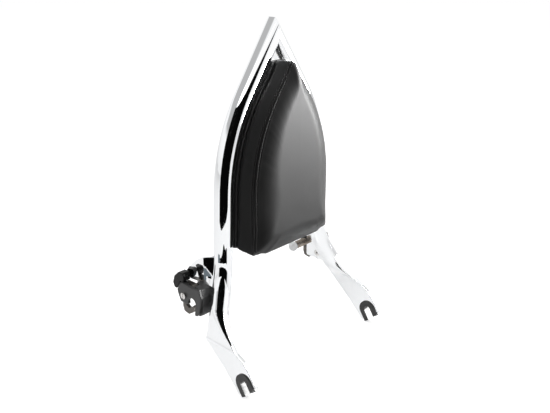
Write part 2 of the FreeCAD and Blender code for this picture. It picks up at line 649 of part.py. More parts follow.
def thumb_pad():
    """Rounded cap on the hook's tongue, closing on the sloped rear edge of the cover."""
    low = POCKET_X + THUMB_SET_OUT
    high = LATCH_OUTER_X
    run = (COVER_REAR[0] - COVER_TOP_REAR[0], COVER_REAR[1] - COVER_TOP_REAR[1])
    length = math.hypot(*run)
    away = (-run[1] / length * THUMB_GAP, run[0] / length * THUMB_GAP)
    upper = (COVER_TOP_REAR[0] + away[0], COVER_TOP_REAR[1] + away[1])
    lower = (COVER_REAR[0] + away[0], COVER_REAR[1] + away[1])
    corner = (upper[0] - HOOK_HUB_R, upper[1] + THUMB_SET_OUT)
    cap = prism(outline_from_stud([corner, upper, lower] + THUMB_OUTLINE), low, high)
    pivot_z = REAR_STUD_Z + PIVOT[1]
    cap = rounded(cap, THUMB_ROUND, lambda edge: along_x(edge) and edge.CenterOfMass.z > pivot_z
                  and (edge.CenterOfMass.z > REAR_STUD_Z + THUMB_OUTLINE[2][1] - PAST
                       or edge.CenterOfMass.y > REAR_STUD_Y + THUMB_OUTLINE[0][0]))
    cap = rounded(cap, THUMB_EDGE, lambda edge: on_plane_x(edge, high))
    fit = TONGUE_FIT
    shifts = [(0, fit), (0, -fit), (fit, -fit), (fit, fit)]
    hole = [(y + dy, z + dz) for (y, z), (dy, dz) in zip(TONGUE, shifts)]
    return cap.cut(prism(outline_from_stud(hole), HOOK_BLADE_X - fit, HOOK_BLADE_X + HOOK_BLADE_T + fit))


KNOB_LOW_X = BODY_X - KNOB_REACH
KNOB_HIGH_X = KNOB_LOW_X + KNOB_LENGTH


def release_shaft():
    """Slotted head outside the cover, a shank through the latch and its end in the knob."""
    centre = from_stud(SHAFT)
    y, z = centre
    inner = KNOB_HIGH_X - SHAFT_IN_KNOB
    top = LATCH_OUTER_X + SHAFT_HEAD_T
    head = rod(SHAFT_HEAD_R, LATCH_OUTER_X, top, centre)
    slot = box((top - SHAFT_SLOT_DEPTH, y - SHAFT_SLOT_W / 2.0, z - 2 * SHAFT_HEAD_R),
               (top + PAST, y + SHAFT_SLOT_W / 2.0, z + 2 * SHAFT_HEAD_R))
    return head.cut(slot).fuse(rod(SHAFT_R, inner, LATCH_OUTER_X, centre)).removeSplitter()


def release_knob():
    """Turned knob with a domed end and a seat for the spring."""
    low = KNOB_LOW_X
    high = KNOB_HIGH_X
    dome_end = low + KNOB_DOME
    shoulder = dome_end + KNOB_SHOULDER
    slope = math.sqrt(0.5)
    dome = arc(vec(low, 0, 0), vec(dome_end - KNOB_DOME * slope, 0, KNOB_R * slope), vec(dome_end, 0, KNOB_R))
    corners = [vec(dome_end, 0, KNOB_R), vec(shoulder, 0, KNOB_R), vec(high, 0, KNOB_FACE_R), vec(high, 0, 0),
               vec(low, 0, 0)]
    edges = [dome] + [line(a, b) for a, b in zip(corners[:-1], corners[1:])]
    knob = Part.Face(Part.Wire(edges)).revolve(vec(0, 0, 0), X_AXIS, 360)
    knob.translate(vec(0, *from_stud(SHAFT)))
    return knob.cut(rod(SHAFT_R, high - SHAFT_IN_KNOB, high + PAST, from_stud(SHAFT)))


def release_spring():
    edge = SPRING_WIRE + SPRING_GAP
    room = BODY_X - KNOB_HIGH_X - 2 * edge
    return coil(SPRING_R, SPRING_WIRE, room / SPRING_TURNS, SPRING_TURNS, KNOB_HIGH_X + edge, from_stud(SHAFT))


def shaft_bush():
    centre = from_stud(SHAFT)
    sleeve = rod(BUSH_R, POCKET_X, COVER_X, centre)
    return sleeve.cut(rod(SHAFT_R + SHAFT_FIT, POCKET_X - PAST, COVER_X + PAST, centre))


def latch_screws():
    """Countersunk screws from the ear's inner face, through the body and into the cover."""
    screws = []
    for centre in outline_from_stud(LATCH_SCREWS):
        screw = screw_cone(centre, 0.0).fuse(rod(LATCH_SCREW_R, EAR_X + LATCH_SCREW_HEAD_R - LATCH_SCREW_R,
                                                 COVER_X + LATCH_SCREW_IN_COVER, centre))
        socket = rod(LATCH_SCREW_SOCKET_R, EAR_X - PAST, EAR_X + LATCH_SCREW_SOCKET, centre)
        screws.append(screw.cut(socket))
    return Part.makeCompound(screws)


PAD_BACK_Y = ARCH_Y - PAD_SET_FORWARD
PAD_TOP_Z = ARCH_APEX_Z - PAD_TOP_DROP
BOARD_BACK_Y = PAD_BACK_Y + BOARD_T
BRACKET_BACK_Y = BOARD_BACK_Y + BRACKET_T
BRACKET_LOWER_Z = PAD_BOTTOM_Z + BRACKET_LOWER_RISE
BRACKET_UPPER_Z = PAD_TOP_Z - BRACKET_UPPER_DROP


def pad_section(z):
    """Level section of the cushion: flat back, slanted sides and a domed front."""
    share = min(1.0, max(0.0, (z - PAD_BOTTOM_Z) / (PAD_TOP_Z - PAD_BOTTOM_Z)))
    wide = arch_half_width(z, TUBE_R) + PAD_OVERLAP
    front = max(wide - PAD_SIDE_SLANT * (1.0 - PAD_SLANT_TAPER * share), PAD_TOP_HALF_WIDTH)
    seam = PAD_BACK_Y - PAD_SEAM_DEPTH - PAD_SEAM_TAPER * share
    swell = math.sin(math.pi * share) ** 0.6
    low_crown = seam - PAD_END_CROWN
    crown = low_crown + (PAD_BACK_Y - PAD_CROWN_DEPTH - low_crown) * swell
    points = [vec(-wide, PAD_BACK_Y, z), vec(wide, PAD_BACK_Y, z), vec(front, seam, z), vec(-front, seam, z)]
    return Part.Wire([line(points[0], points[1]), line(points[1], points[2]),
                      arc(points[2], vec(0, crown, z), points[3]), line(points[3], points[0])])


def pad_cushion():
    low = PAD_BOTTOM_Z - PAD_BOTTOM_RISE
    heights = [low + (PAD_TOP_Z - low) * i / (PAD_SECTIONS - 1) for i in range(PAD_SECTIONS)]
    cushion = Part.makeLoft([pad_section(z) for z in heights], True)
    rise = PAD_BOTTOM_RISE / PAD_SEAM_DEPTH
    front_y = PAD_BACK_Y - 2 * PAD_CROWN_DEPTH
    back_y = PAD_BACK_Y + PAST
    seam_y = PAD_BACK_Y - PAD_SEAM_DEPTH
    under = [(front_y, PAD_BOTTOM_Z + rise * (front_y - seam_y)), (front_y, low - PAD_CROWN_DEPTH),
             (back_y, low - PAD_CROWN_DEPTH), (back_y, PAD_BOTTOM_Z + rise * (back_y - seam_y))]
    return cushion.cut(prism(under, -2 * SHOULDER_X, 2 * SHOULDER_X))


def arch_outline(z_low, z_high, inside, y):
    """Closed wire that follows the arch at a distance inside its centreline."""
    heights = [z_low + (z_high - z_low) * i / OUTLINE_STEPS for i in range(OUTLINE_STEPS + 1)]
    left = [vec(arch_half_width(z, inside), y, z) for z in heights]
    right = [vec(-p.x, y, p.z) for p in reversed(left)]
    left_side = Part.BSplineCurve()
    left_side.interpolate(left)
    right_side = Part.BSplineCurve()
    right_side.interpolate(right)
    return Part.Wire([left_side.toShape(), line(left[-1], right[0]), right_side.toShape(),
                      line(right[-1], left[0])])


def bolt_places():
    places = []
    for z in (BRACKET_LOWER_Z, BRACKET_UPPER_Z):
        x = arch_half_width(z, TUBE_R) - BOLT_INSET
        places += [(-x, z), (x, z)]
    return places


def pad_base_board():
    wire = arch_outline(PAD_BOTTOM_Z + PAD_BOTTOM_RISE, PAD_TOP_Z - BOARD_TOP_DROP, TUBE_R - BOARD_OVERLAP,
                        PAD_BACK_Y)
    board = Part.Face(wire).extrude(vec(0, BOARD_T, 0))
    for x, z in bolt_places():
        board = board.cut(rod_y(BOLT_R, x, PAD_BACK_Y - PAST, BOARD_BACK_Y + PAST, z))
    return board


def pad_bracket(middle_z, frame):
    """Cross strap behind the board, welded between the tubes."""
    low = middle_z - BRACKET_HEIGHT / 2.0
    high = middle_z + BRACKET_HEIGHT / 2.0
    wire = arch_outline(low, high, 0.0, BOARD_BACK_Y)
    strap = Part.Face(wire).extrude(vec(0, BRACKET_T, 0))
    for x, z in bolt_places():
        strap = strap.cut(rod_y(BOLT_R + BOLT_FIT, x, BOARD_BACK_Y - PAST, BRACKET_BACK_Y + PAST, z))
    strap = strap.cut(frame)
    return max(strap.Solids, key=lambda solid: solid.Volume)


def hexagon(x, y, z):
    corners = []
    for i in range(6):
        angle = math.radians(60.0 * i)
        corners.append(vec(x + BOLT_HEAD_R * math.cos(angle), y, z + BOLT_HEAD_R * math.sin(angle)))
    return Part.Face(polygon(corners)).extrude(vec(0, BOLT_HEAD_H, 0))


def pad_bolts():
    bolts = []
    head_y = BRACKET_BACK_Y + WASHER_T
    for x, z in bolt_places():
        bolts.append(rod_y(BOLT_R, x, PAD_BACK_Y, head_y, z).fuse(hexagon(x, head_y, z)))
    return Part.makeCompound(bolts)


def pad_washers():
    rings = []
    for x, z in bolt_places():
        ring = rod_y(WASHER_R, x, BRACKET_BACK_Y, BRACKET_BACK_Y + WASHER_T, z)
        hole = rod_y(BOLT_R + WASHER_FIT, x, BRACKET_BACK_Y - PAST, BRACKET_BACK_Y + WASHER_T + PAST, z)
        rings.append(ring.cut(hole))
    return Part.makeCompound(rings)


os.makedirs("parts", exist_ok=True)
frame_shape = upright()
save(frame_shape, "upright_frame")
save_pair(slot_liner(), "slot_liner")
save_pair(ear(frame_shape), "ear")
save_pair(latch_body(), "latch_body")
save_pair(latch_cover(), "latch_cover")
save_pair(latch_hook(), "latch_hook")
save_pair(hook_spring(), "hook_spring")
save_pair(hook_pin(), "hook_pin")
save_pair(thumb_pad(), "thumb_pad")
save_pair(release_shaft(), "release_shaft")
save_pair(release_knob(), "release_knob")
save_pair(release_spring(), "release_spring")
save_pair(shaft_bush(), "shaft_bush")
save_pair(latch_screws(), "latch_screws")
save(pad_cushion(), "pad_cushion")
save(pad_base_board(), "pad_base_board")
save(pad_bracket(BRACKET_LOWER_Z, frame_shape), "pad_bracket_lower")
save(pad_bracket(BRACKET_UPPER_Z, frame_shape), "pad_bracket_upper")
save(pad_bolts(), "pad_bolts")
save(pad_washers(), "pad_washers")
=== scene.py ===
# %% [markdown]
# A passenger backrest for a motorcycle: a chromed tube bent to a pointed arch, two slotted blades that sit on
# the front docking studs, a spring latch on each side for the rear studs, and an upholstered pad.
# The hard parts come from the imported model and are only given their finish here. The soft and springy parts
# are made here, in metres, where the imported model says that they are.

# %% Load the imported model
import json
import math

import bpy
import numpy as np
from mathutils import Matrix, Vector
from mathutils.bvhtree import BVHTree


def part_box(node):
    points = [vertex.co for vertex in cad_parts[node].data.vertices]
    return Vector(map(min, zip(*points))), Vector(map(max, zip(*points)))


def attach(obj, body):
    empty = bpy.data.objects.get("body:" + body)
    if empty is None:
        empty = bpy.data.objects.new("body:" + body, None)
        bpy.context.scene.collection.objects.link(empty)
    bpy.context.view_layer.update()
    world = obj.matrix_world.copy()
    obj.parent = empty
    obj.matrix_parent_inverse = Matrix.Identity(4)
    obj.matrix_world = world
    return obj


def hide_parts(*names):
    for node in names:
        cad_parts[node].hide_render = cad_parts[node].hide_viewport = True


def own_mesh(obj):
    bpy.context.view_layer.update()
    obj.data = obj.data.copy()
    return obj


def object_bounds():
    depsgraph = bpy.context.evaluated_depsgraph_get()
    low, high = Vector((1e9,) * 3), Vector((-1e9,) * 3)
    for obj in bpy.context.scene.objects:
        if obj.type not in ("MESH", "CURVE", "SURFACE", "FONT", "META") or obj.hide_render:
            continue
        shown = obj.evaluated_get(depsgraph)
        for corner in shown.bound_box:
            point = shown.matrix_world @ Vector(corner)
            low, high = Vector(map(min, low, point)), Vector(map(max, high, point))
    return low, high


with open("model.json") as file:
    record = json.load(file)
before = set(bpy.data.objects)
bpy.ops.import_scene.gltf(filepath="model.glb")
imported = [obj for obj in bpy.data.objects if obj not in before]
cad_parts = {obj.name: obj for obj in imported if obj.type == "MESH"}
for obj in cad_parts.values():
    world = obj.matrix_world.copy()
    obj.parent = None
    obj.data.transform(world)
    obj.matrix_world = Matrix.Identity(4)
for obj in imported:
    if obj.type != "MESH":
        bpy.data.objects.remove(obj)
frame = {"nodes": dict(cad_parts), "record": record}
nodes = frame["nodes"]
cad_low, cad_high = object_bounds()
MM = 0.001
SIDES = {"left": 1.0, "right": -1.0}
print(len(nodes), "nodes", [round(v / MM, 1) for v in cad_high - cad_low])

# %% [markdown]
# The camera stands where the photographer stood: in front of the right-hand blade, a little above the arch.
# Its lens and place were found from the perspective of the two blades and the arch, so the two pictures can
# be laid over each other. An azimuth and an elevation are easier to read than three turns, so the rotation is
# made from them.

# %% Camera
IMAGE_WIDTH = 550
FOCAL_PIXELS = 720.0
CAMERA_AZIMUTH = -47.048
CAMERA_ELEVATION = 21.008
CAMERA_PLACE = Vector((-664.4, -547.3, 530.75)) * MM


def looking_back(azimuth, elevation):
    """The direction from the object to a camera that looks at it from this azimuth and elevation."""
    turn, rise = math.radians(azimuth), math.radians(elevation)
    return Vector((math.sin(turn) * math.cos(rise), -math.cos(turn) * math.cos(rise), math.sin(rise)))


bpy.ops.object.camera_add(location=CAMERA_PLACE)
camera = bpy.context.object
camera.name = "camera"
camera.data.lens = camera.data.sensor_width * FOCAL_PIXELS / IMAGE_WIDTH
camera.data.clip_start = 0.05
camera.data.clip_end = 50.0
camera.rotation_mode = "QUATERNION"
camera.rotation_quaternion = (-looking_back(CAMERA_AZIMUTH, CAMERA_ELEVATION)).to_track_quat("-Z", "Y")
bpy.context.scene.camera = camera
bpy.context.scene.view_settings.view_transform = "Standard"
print("lens", round(camera.data.lens, 2), "mm")

# %% [markdown]
# Every finish is a material with one Principled BSDF. Numbers that are the same all over a surface are set on
# that shader's own sockets. What changes over a surface comes from node groups: grain, brushing, worn edges
# and smudges are each built once, and placed in each finish with their own values.

# %% Helpers for nodes


def node(tree, kind, links=None, **settings):
    """Adds a node, sets what it is told, and wires or sets its inputs by name or number."""
    made = tree.nodes.new(kind)
    for key, value in settings.items():
        setattr(made, key, value)
    for key, value in (links or {}).items():
        socket = made.inputs[key]
        if isinstance(value, bpy.types.NodeSocket):
            tree.links.new(value, socket)
        else:
            socket.default_value = value
    return made


def group(name, inputs, outputs):
    """Starts a shader node group: its tree, its input node and its output node."""
    tree = bpy.data.node_groups.new(name, "ShaderNodeTree")
    for label, value in inputs.items():
        socket = tree.interface.new_socket(label, in_out="INPUT", socket_type="NodeSocketFloat")
        socket.default_value = value
    for label in outputs:
        tree.interface.new_socket(label, in_out="OUTPUT", socket_type="NodeSocketFloat")
    return tree, tree.nodes.new("NodeGroupInput"), tree.nodes.new("NodeGroupOutput")


def math_node(tree, operation, first, second=0.0, third=None):
    """One step of arithmetic; returns its result socket."""
    links = {0: first, 1: second}
    if third is not None:
        links[2] = third
    return node(tree, "ShaderNodeMath", links, operation=operation).outputs[0]


def ranged(tree, value, low, high, to_low, to_high):
    """Maps a value from one range to another, and stops at the ends."""
    return node(tree, "ShaderNodeMapRange", {0: value, 1: low, 2: high, 3: to_low, 4: to_high}).outputs[0]


def noise(tree, place, scale, detail=2.0, roughness=0.5):
    """Soft random values over the surface, about one patch per 1/scale metres."""
    links = {"Vector": place, "Scale": scale, "Detail": detail, "Roughness": roughness}
    return node(tree, "ShaderNodeTexNoise", links).outputs[0]


# %% [markdown]
# Four effects repeat. Powder coat and moulded plastic have a fine pebbled skin. Drawn and ground steel has
# fine lines along one direction. Handled metal has faint smudges that only show in how sharp it reflects. And
# paint is thin on sharp edges, which a bevelled normal finds: where it differs from the real normal, there is
# an edge.

# %% Node groups
pebble, pebble_in, pebble_out = group("pebbled_skin", {"Size": 900.0, "Broad": 60.0}, ["Height", "Tone"])
place = node(pebble, "ShaderNodeTexCoord").outputs["Object"]
fine = noise(pebble, place, pebble_in.outputs["Size"], 3.0, 0.6)
broad = noise(pebble, place, pebble_in.outputs["Broad"], 2.0)
pebble.links.new(fine, pebble_out.inputs["Height"])
pebble.links.new(math_node(pebble, "MULTIPLY_ADD", fine, 0.35, broad), pebble_out.inputs["Tone"])

smudge, smudge_in, smudge_out = group("smudges", {"Size": 25.0, "Low": 0.03, "High": 0.08}, ["Roughness"])
place = node(smudge, "ShaderNodeTexCoord").outputs["Object"]
cloud = noise(smudge, place, smudge_in.outputs["Size"], 5.0, 0.65)
smudge.links.new(ranged(smudge, cloud, 0.35, 0.75, smudge_in.outputs["Low"], smudge_in.outputs["High"]),
                 smudge_out.inputs["Roughness"])

drawn, drawn_in, drawn_out = group("drawn_lines", {"Along": 40.0, "Across": 2200.0}, ["Height", "Tone"])
place = node(drawn, "ShaderNodeTexCoord").outputs["Object"]
stretch = node(drawn, "ShaderNodeCombineXYZ", {0: drawn_in.outputs["Along"], 1: drawn_in.outputs["Across"],
                                               2: drawn_in.outputs["Across"]}).outputs[0]
lined = node(drawn, "ShaderNodeVectorMath", {0: place, 1: stretch}, operation="MULTIPLY").outputs[0]
lines = noise(drawn, lined, 1.0, 2.0)
drawn.links.new(lines, drawn_out.inputs["Height"])
drawn.links.new(lines, drawn_out.inputs["Tone"])

worn, worn_in, worn_out = group("worn_edges", {"Amount": 0.5, "Patch Size": 300.0}, ["Mask"])
bevelled = node(worn, "ShaderNodeBevel", {"Radius": 0.5 * MM}, samples=6).outputs[0]
straight = node(worn, "ShaderNodeNewGeometry").outputs["Normal"]
turned = node(worn, "ShaderNodeVectorMath", {0: bevelled, 1: straight}, operation="DOT_PRODUCT").outputs["Value"]
edge = ranged(worn, turned, 0.995, 0.93, 0.0, 1.0)
place = node(worn, "ShaderNodeTexCoord").outputs["Object"]
patchy = ranged(worn, noise(worn, place, worn_in.outputs["Patch Size"], 3.0), 0.35, 0.65, 0.2, 1.0)
worn.links.new(math_node(worn, "MULTIPLY", math_node(worn, "MULTIPLY", edge, patchy), worn_in.outputs["Amount"]),
               worn_out.inputs["Mask"])
print([tree.name for tree in bpy.data.node_groups])

# %% [markdown]
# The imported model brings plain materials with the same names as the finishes. They are renamed first, or each new
# finish would get a number behind its name, and the pieces would keep the plain one.

# %% Helpers for finishes


def finish_named(name, **constants):
    """A new material: its node tree and its Principled BSDF with the constants set on its own sockets."""
    packed = bpy.data.materials.get(name)
    if packed:
        packed.name = f"packed_{name}"
    made = bpy.data.materials.new(name)
    made.use_nodes = True
    shader = made.node_tree.nodes["Principled BSDF"]
    for key, value in constants.items():
        shader.inputs[key.replace("_", " ")].default_value = value
    return made.node_tree, shader


def placed(tree, shared, **values):
    """Places a shared node group in a finish, with this finish's own values."""
    made = node(tree, "ShaderNodeGroup", node_tree=shared)
    for key, value in values.items():
        made.inputs[key.replace("_", " ")].default_value = value
    return made.outputs


def mixed(tree, share, dark, light):
    """A colour between two, by a share from 0 to 1. Each colour is a value or a socket."""
    return node(tree, "ShaderNodeMix", {0: share, 6: dark, 7: light}, data_type="RGBA").outputs[2]


def roughened(tree, shader, size, low, high):
    """Lets the roughness change between two values, in smudges."""
    tree.links.new(placed(tree, smudge, Size=size, Low=low, High=high)["Roughness"], shader.inputs["Roughness"])


def bumped(tree, shader, height, distance, strength=1.0):
    """Raises the surface by a height map, in metres."""
    bump = node(tree, "ShaderNodeBump", {"Height": height, "Distance": distance, "Strength": strength})
    tree.links.new(bump.outputs[0], shader.inputs["Normal"])


def grey(value, warm=0.0):
    """A neutral colour, or one a little warmer or cooler."""
    return (value * (1.0 + warm), value, value * (1.0 - warm), 1.0)


# %% [markdown]
# Chrome plate is a mirror: all of its looks come from what it reflects. A perfect mirror looks drawn, so its
# sharpness changes a little over the surface, and the plate has the faint unevenness that polishing leaves.

# %% Chrome and steel
tree, shader = finish_named("chrome", Base_Color=grey(0.90, -0.012), Metallic=1.0)
roughened(tree, shader, 18.0, 0.015, 0.045)
bumped(tree, shader, placed(tree, pebble, Size=45.0, Broad=12.0)["Height"], 0.02 * MM, 0.5)

# Each row: name, tone, warmth, lowest and highest roughness.
STEELS = [
    ("latch_steel", 0.13, 0.08, 0.30, 0.45),
    ("zinc_steel", 0.74, 0.02, 0.18, 0.32),
    ("spring_steel", 0.36, 0.16, 0.25, 0.42),
]
for name, tone, warm, low, high in STEELS:
    tree, shader = finish_named(name, Metallic=1.0)
    lines = placed(tree, drawn, Along=120.0, Across=2600.0)
    tree.links.new(mixed(tree, lines["Tone"], grey(tone * 0.8, warm), grey(tone, warm)), shader.inputs["Base Color"])
    roughened(tree, shader, 140.0, low, high)
    bumped(tree, shader, lines["Height"], 0.03 * MM, 0.5)

# %% [markdown]
# The latch castings are powder coated, so they are satin, softly pebbled, and a little bare where corners rub.
# The plastics are moulded: the liners, the board and the knob are matt, and the thumb pad is smoother.

# %% Painted and moulded finishes
BARE_METAL = grey(0.22)

# Each row: name, tone, lowest and highest roughness, how much the edges are worn.
PAINTS = [
    ("casting_dark", 0.024, 0.30, 0.44, 0.50),
    ("bracket_black", 0.016, 0.38, 0.50, 0.35),
]
for name, tone, low, high, wear in PAINTS:
    tree, shader = finish_named(name)
    skin = placed(tree, pebble, Size=1400.0, Broad=90.0)
    coat = mixed(tree, skin["Tone"], grey(tone * 0.8), grey(tone * 1.25))
    bare = placed(tree, worn, Amount=wear, Patch_Size=260.0)["Mask"]
    tree.links.new(mixed(tree, bare, coat, BARE_METAL), shader.inputs["Base Color"])
    roughened(tree, shader, 80.0, low, high)
    bumped(tree, shader, skin["Height"], 0.05 * MM, 0.6)

# Each row: name, tone, specular level, lowest and highest roughness, size and height (mm) of the pebbles.
PLASTICS = [
    ("liner_black", 0.014, 0.5, 0.36, 0.50, 1100.0, 0.04),
    ("knob_grey", 0.80, 0.5, 0.45, 0.60, 1500.0, 0.03),
    ("thumb_black", 0.010, 0.15, 0.20, 0.32, 700.0, 0.02),
    ("board_black", 0.018, 0.5, 0.50, 0.65, 800.0, 0.06),
]
for name, tone, specular, low, high, size, height in PLASTICS:
    tree, shader = finish_named(name, Specular_IOR_Level=specular)
    skin = placed(tree, pebble, Size=size, Broad=70.0)
    tree.links.new(mixed(tree, skin["Tone"], grey(tone * 0.8), grey(tone * 1.2)), shader.inputs["Base Color"])
    roughened(tree, shader, 90.0, low, high)
    bumped(tree, shader, skin["Height"], height * MM, 0.6)

# %% [markdown]
# The pad is covered in black grained vinyl. Its grain is a skin of small rounded cells, less than a millimetre
# across, that catch the light as a broad soft sheen. The thread is black too, and a little shinier.

# %% Vinyl and thread
tree, shader = finish_named("pad_vinyl", Specular_IOR_Level=0.24)
place = node(tree, "ShaderNodeTexCoord").outputs["Object"]
cells = node(tree, "ShaderNodeTexVoronoi", {"Vector": place, "Scale": 1150.0, "Smoothness": 0.6},
             feature="SMOOTH_F1").outputs["Distance"]
creases = noise(tree, place, 420.0, 2.0, 0.5)
height = math_node(tree, "MULTIPLY_ADD", creases, 0.7, cells)
tree.links.new(mixed(tree, noise(tree, place, 30.0, 3.0), grey(0.002), grey(0.004)), shader.inputs["Base Color"])
roughened(tree, shader, 22.0, 0.44, 0.52)
bumped(tree, shader, height, 0.04 * MM, 0.35)

tree, shader = finish_named("black_thread")
place = node(tree, "ShaderNodeTexCoord").outputs["Object"]
strands = noise(tree, place, 2600.0, 2.0)
tree.links.new(mixed(tree, strands, grey(0.012), grey(0.035)), shader.inputs["Base Color"])
roughened(tree, shader, 300.0, 0.35, 0.5)
bumped(tree, shader, strands, 0.05 * MM, 0.6)

# %% [markdown]
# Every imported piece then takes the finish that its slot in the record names.

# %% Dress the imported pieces


def dress(piece, finish):
    """Gives a piece one finish all over."""
    piece.data.materials.clear()
    piece.data.materials.append(bpy.data.materials[finish])


for part in frame["record"]["subparts"]:
    piece = nodes[part["node"]]
    if piece.data.materials:
        for slot in piece.material_slots:
            slot.material = bpy.data.materials[part["material_slot"]]
    else:
        dress(piece, part["material_slot"])
print(len(bpy.data.materials), "materials")

# %% [markdown]
# The rest of the pieces are modelled with operators and applied modifiers. These helpers keep each step short: one
# object is picked before an operator acts, and a mesh's points are read and set as one array.

# %% Helpers for modelling


def deselect():
    """Leaves nothing selected, so that an operator acts only on what comes next."""
    if bpy.context.object and bpy.context.object.mode != "OBJECT":
        bpy.ops.object.mode_set(mode="OBJECT")
    bpy.ops.object.select_all(action="DESELECT")


def pick(piece):
    """Makes one object the active and only selected one."""
    deselect()
    piece.select_set(True)
    bpy.context.view_layer.objects.active = piece


def apply_modifier(piece, kind, **settings):
    """Adds a modifier, sets it, and applies it."""
    pick(piece)
    made = piece.modifiers.new(kind.lower(), kind)
    for key, value in settings.items():
        setattr(made, key, value)
    bpy.ops.object.modifier_apply(modifier=made.name)


def merged_copy(source, name):
    """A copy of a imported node's mesh, with its loose triangles joined into one surface."""
    made = bpy.data.objects.new(name, source.data.copy())
    bpy.context.scene.collection.objects.link(made)
    pick(made)
    bpy.ops.object.mode_set(mode="EDIT")
    bpy.ops.mesh.select_all(action="SELECT")
    bpy.ops.mesh.remove_doubles(threshold=0.02 * MM)
    bpy.ops.mesh.normals_make_consistent(inside=False)
    bpy.ops.object.mode_set(mode="OBJECT")
    return made


def points_of(piece):
    """A mesh's points as an array."""
    co = np.zeros(len(piece.data.vertices) * 3)
    piece.data.vertices.foreach_get("co", co)
    return co.reshape(-1, 3)


def normals_of(piece):
    """A mesh's point normals as an array."""
    co = np.zeros(len(piece.data.vertices) * 3)
    piece.data.vertices.foreach_get("normal", co)
    return co.reshape(-1, 3)


def set_points(piece, co):
    """Moves a mesh's points to these places."""
    piece.data.vertices.foreach_set("co", np.asarray(co, np.float32).ravel())
    piece.data.update()


def piece_from(name, verts, faces):
    """A new object at the world's origin, from points and faces."""
    mesh = bpy.data.meshes.new(name)
    mesh.from_pydata(verts, [], faces)
    made = bpy.data.objects.new(name, mesh)
    bpy.context.scene.collection.objects.link(made)
    return made


def face_outwards(piece):
    """Turns every face of a mesh outwards."""
    pick(piece)
    bpy.ops.object.mode_set(mode="EDIT")
    bpy.ops.mesh.select_all(action="SELECT")
    bpy.ops.mesh.normals_make_consistent(inside=False)
    bpy.ops.object.mode_set(mode="OBJECT")


def searchable(piece):
    """A mesh in the form that rays are cast at."""
    faces = [tuple(face.vertices) for face in piece.data.polygons]
    return BVHTree.FromPolygons([Vector(p) for p in points_of(piece)], faces)


def lengths_along(path):
    """How far along a path each of its points lies, from 0 to the whole length."""
    return np.concatenate([[0.0], np.cumsum([(b - a).length for a, b in zip(path, path[1:])])])


def at_lengths(path, lengths, wanted):
    """The x, y and z of a path at the wanted lengths."""
    return [np.interp(wanted, lengths, [p[k] for p in path]) for k in range(3)]


# %% [markdown]
# The cushion is foam under a tight cover, on a flat board. A tight cover swells between its seams, which a
# cloth simulation with a little pressure shows well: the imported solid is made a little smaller, remeshed into
# even faces, and blown up, while its flat back stays on the board. How far a point may move is capped.

# %% Blow up the foam
PAD_SHRINK = 0.8 * MM
PAD_CAP = 5.0 * MM
VOXEL = 4.0 * MM
SIM_FRAMES = 20
ROUNDING = 2
SPREADING = 24
HELD_DEPTH = 5.0 * MM
PRESSURE = 4.0
STIFFNESS = 15.0
pad_low, pad_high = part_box("pad_cushion")
foam = merged_copy(nodes["pad_cushion"], "foam")
set_points(foam, points_of(foam) - normals_of(foam) * PAD_SHRINK)
apply_modifier(foam, "REMESH", mode="VOXEL", voxel_size=VOXEL, use_smooth_shade=True)
apply_modifier(foam, "SMOOTH", factor=0.5, iterations=ROUNDING)
rest = points_of(foam)
on_board = foam.vertex_groups.new(name="on_board")
on_board.add([i for i, p in enumerate(rest) if p[1] > pad_high.y - HELD_DEPTH], 1.0, "REPLACE")
cloth = foam.modifiers.new("cloth", "CLOTH")
cloth.settings.use_pressure = True
cloth.settings.uniform_pressure_force = PRESSURE
cloth.settings.tension_stiffness = STIFFNESS
cloth.settings.compression_stiffness = STIFFNESS
cloth.settings.effector_weights.gravity = 0.0
cloth.settings.vertex_group_mass = "on_board"
cloth.point_cache.frame_end = SIM_FRAMES
for step in range(1, SIM_FRAMES + 1):
    bpy.context.scene.frame_set(step)
pick(foam)
bpy.ops.object.modifier_apply(modifier="cloth")
bpy.context.scene.frame_set(1)


def spread(piece, values, times):
    """Evens out values over a surface: each point takes the mean of its neighbours, several times."""
    ends = np.array([tuple(e.vertices) for e in piece.data.edges])
    joined = np.bincount(ends.ravel(), minlength=len(values))[:, None]
    for _ in range(times):
        total = np.zeros_like(values)
        np.add.at(total, ends[:, 0], values[ends[:, 1]])
        np.add.at(total, ends[:, 1], values[ends[:, 0]])
        values = (values + total / joined) / 2.0
    return values


moved = points_of(foam) - rest
out = normals_of(foam)
swell = np.sum(moved * out, axis=1, keepdims=True)
print("foam swelled", [round(float(v) / MM, 2) for v in np.percentile(swell, (1, 50, 99))], "mm")
swell = spread(foam, np.clip(swell, 0.0, PAD_CAP), SPREADING)
set_points(foam, rest + out * swell)

# %% [markdown]
# The remeshed foam can't hold a seam narrower than its faces. So the cover is a new, tidy grid laid on the
# foam: rings that run round the pad, close together at the seam. Its points are found by casting rays at the
# foam. Each ring keeps its distance from the seam all round, so a groove and its stitch rows are only a small
# step in or out of whole rings.

# %% Lay the cover on the foam
ROUND = 420
SEAM_BACK = 23.5 * MM
BOARD_ZONE = (9.0 * MM, 19.0 * MM)
SOFTNESS = 0.55
SIDE_DEPTH = 12.0 * MM
OUTLINE_FAN = 1440
OUTSIDE = 0.5
seam_y = pad_high.y - SEAM_BACK
tree_of_foam = searchable(foam)
tree_of_solid = searchable(nodes["pad_cushion"])
centre_z = 0.42 * (pad_low.z + pad_high.z)


def cast(origin, direction):
    """Where a ray meets the foam; near the board, where the cover is pulled tight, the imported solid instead."""
    soft = tree_of_foam.ray_cast(origin, direction.normalized())[0]
    tight = tree_of_solid.ray_cast(origin, direction.normalized())[0]
    share = (pad_high.y - soft.y - BOARD_ZONE[0]) / (BOARD_ZONE[1] - BOARD_ZONE[0])
    return tight.lerp(soft, SOFTNESS * min(max(share, 0.0), 1.0)) if tight else soft


